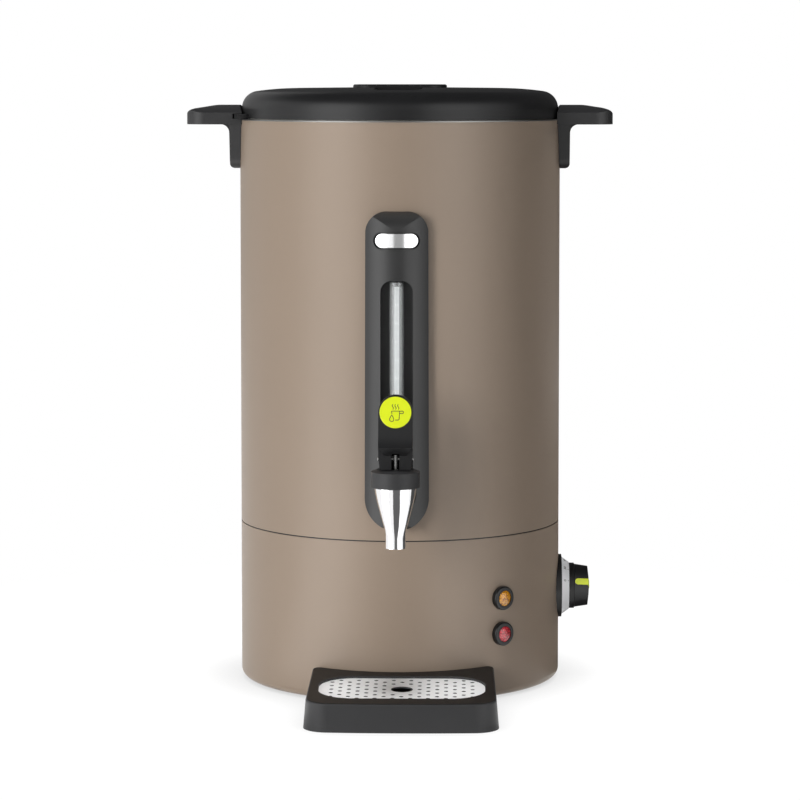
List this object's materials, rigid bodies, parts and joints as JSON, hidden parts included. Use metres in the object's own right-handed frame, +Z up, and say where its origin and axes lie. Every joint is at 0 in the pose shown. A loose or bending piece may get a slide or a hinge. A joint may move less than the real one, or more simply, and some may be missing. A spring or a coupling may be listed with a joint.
{
  "type": "hot water urn",
  "caption": "Tall cylindrical hot water urn with a lever tap and sight gauge in a front panel, lock-on lid, two side handles, thermostat knob, lamps and a loose drip tray.",
  "frame": {"origin": "on the casing's axis in the plane of the table, at the centre of the rubber foot ring", "axes": "+Z up along the casing's axis, -Y towards the tap and the drip tray, +X towards the knob"},
  "size_m": [0.3564, 0.3772, 0.5007],
  "materials": {
    "powder_coat": "matt taupe powder coat",
    "steel": "brushed stainless steel",
    "plated": "polished chrome plate",
    "zinc": "zinc-plated steel",
    "alloy": "cast aluminium",
    "black_plastic": "black, fine satin",
    "panel_plastic": "dark grey, satin",
    "lid_plastic": "black, smooth satin",
    "silver_plastic": "silver paint",
    "lime_plastic": "lime",
    "white_plastic": "white",
    "amber_plastic": "amber, clear",
    "red_plastic": "red, clear",
    "clear_glass": "clear",
    "silicone": "translucent silicone",
    "black_rubber": "black rubber",
    "ceramic": "ceramic white"
  },
  "bodies": {
    "root": {"base_shell": "powder_coat", "outer_shell": "powder_coat", "joining_ring": "black_plastic", "inner_vessel": "steel", "bottom_cover": "zinc", "foot_ring": "black_rubber", "heat_plate": "alloy", "heating_element": "steel", "boil_dry_cutout": "ceramic", "centre_rod": "zinc", "thermostat_body": "black_plastic", "thermostat_screws": "zinc", "thermostat_bulb": "steel", "dial_bezel": "black_plastic", "dial_ring": "silver_plastic", "lamp_holders": "black_plastic", "lamp_nuts": "black_plastic", "amber_lens": "amber_plastic", "red_lens": "red_plastic", "cord_bush": "black_plastic", "terminal_block": "ceramic", "left_handle": "black_plastic", "right_handle": "black_plastic", "handle_plates": "zinc", "handle_screws": "zinc", "front_panel": "panel_plastic", "panel_screws": "zinc", "badge_plate": "plated", "gauge_tube": "clear_glass", "gauge_scale": "white_plastic", "gauge_plug": "black_plastic", "gauge_seal": "silicone", "tap_body": "plated", "outer_washer": "black_rubber", "inner_washer": "silicone", "wall_spacer": "black_plastic", "tap_nut": "steel", "tap_bonnet": "black_plastic", "valve_spring": "steel"},
    "lid_carrier": {"lid_seal": "silicone"},
    "lid": {"lid_shell": "lid_plastic", "lid_grip": "lid_plastic", "lid_screws": "zinc", "lid_liner": "steel"},
    "knob": {"knob": "black_plastic", "knob_pointer": "lime_plastic", "knob_shaft": "zinc"},
    "lever": {"lever": "black_plastic", "lever_disc": "lime_plastic"},
    "stem": {"valve_stem": "steel", "valve_seal": "silicone", "lever_pin": "plated"},
    "tray": {"drip_tray": "black_plastic"},
    "grate": {"drip_grate": "steel"}
  },
  "joints": [
    {"name": "lid_lift", "type": "slide", "parent": "root", "child": "lid_carrier", "axis": [0, 0, 1], "range_m": [0, 0.15]},
    {"name": "lid_turn", "type": "hinge", "parent": "lid_carrier", "child": "lid", "pos_m": [0, 0, 0.472], "axis": [0, 0, 1], "range_deg": [-12, 0]},
    {"name": "knob_turn", "type": "hinge", "parent": "root", "child": "knob", "pos_m": [0.14, 0, 0.0756], "axis": [-1, 0, 0], "range_deg": [0, 270]},
    {"name": "lever_tilt", "type": "hinge", "parent": "root", "child": "lever", "pos_m": [0, -0.1935, 0.1991], "axis": [1, 0, 0], "range_deg": [0, 20], "stiffness_Nm_per_rad": 0.6, "springref_deg": -17.19},
    {"name": "valve_lift", "type": "slide", "parent": "root", "child": "stem", "axis": [0, 0, 1], "range_m": [0, 0.00375], "deforming": ["valve_spring"]},
    {"name": "tray_pull", "type": "slide", "parent": "root", "child": "tray", "axis": [0, -1, 0], "range_m": [0, 0.12]},
    {"name": "grate_lift", "type": "slide", "parent": "tray", "child": "grate", "axis": [0, 0, 1], "range_m": [0, 0.06]}
  ],
  "couplings": [
    {"joint": "valve_lift", "follows": "lever_tilt", "m_per_rad": 0.01035}
  ]
}
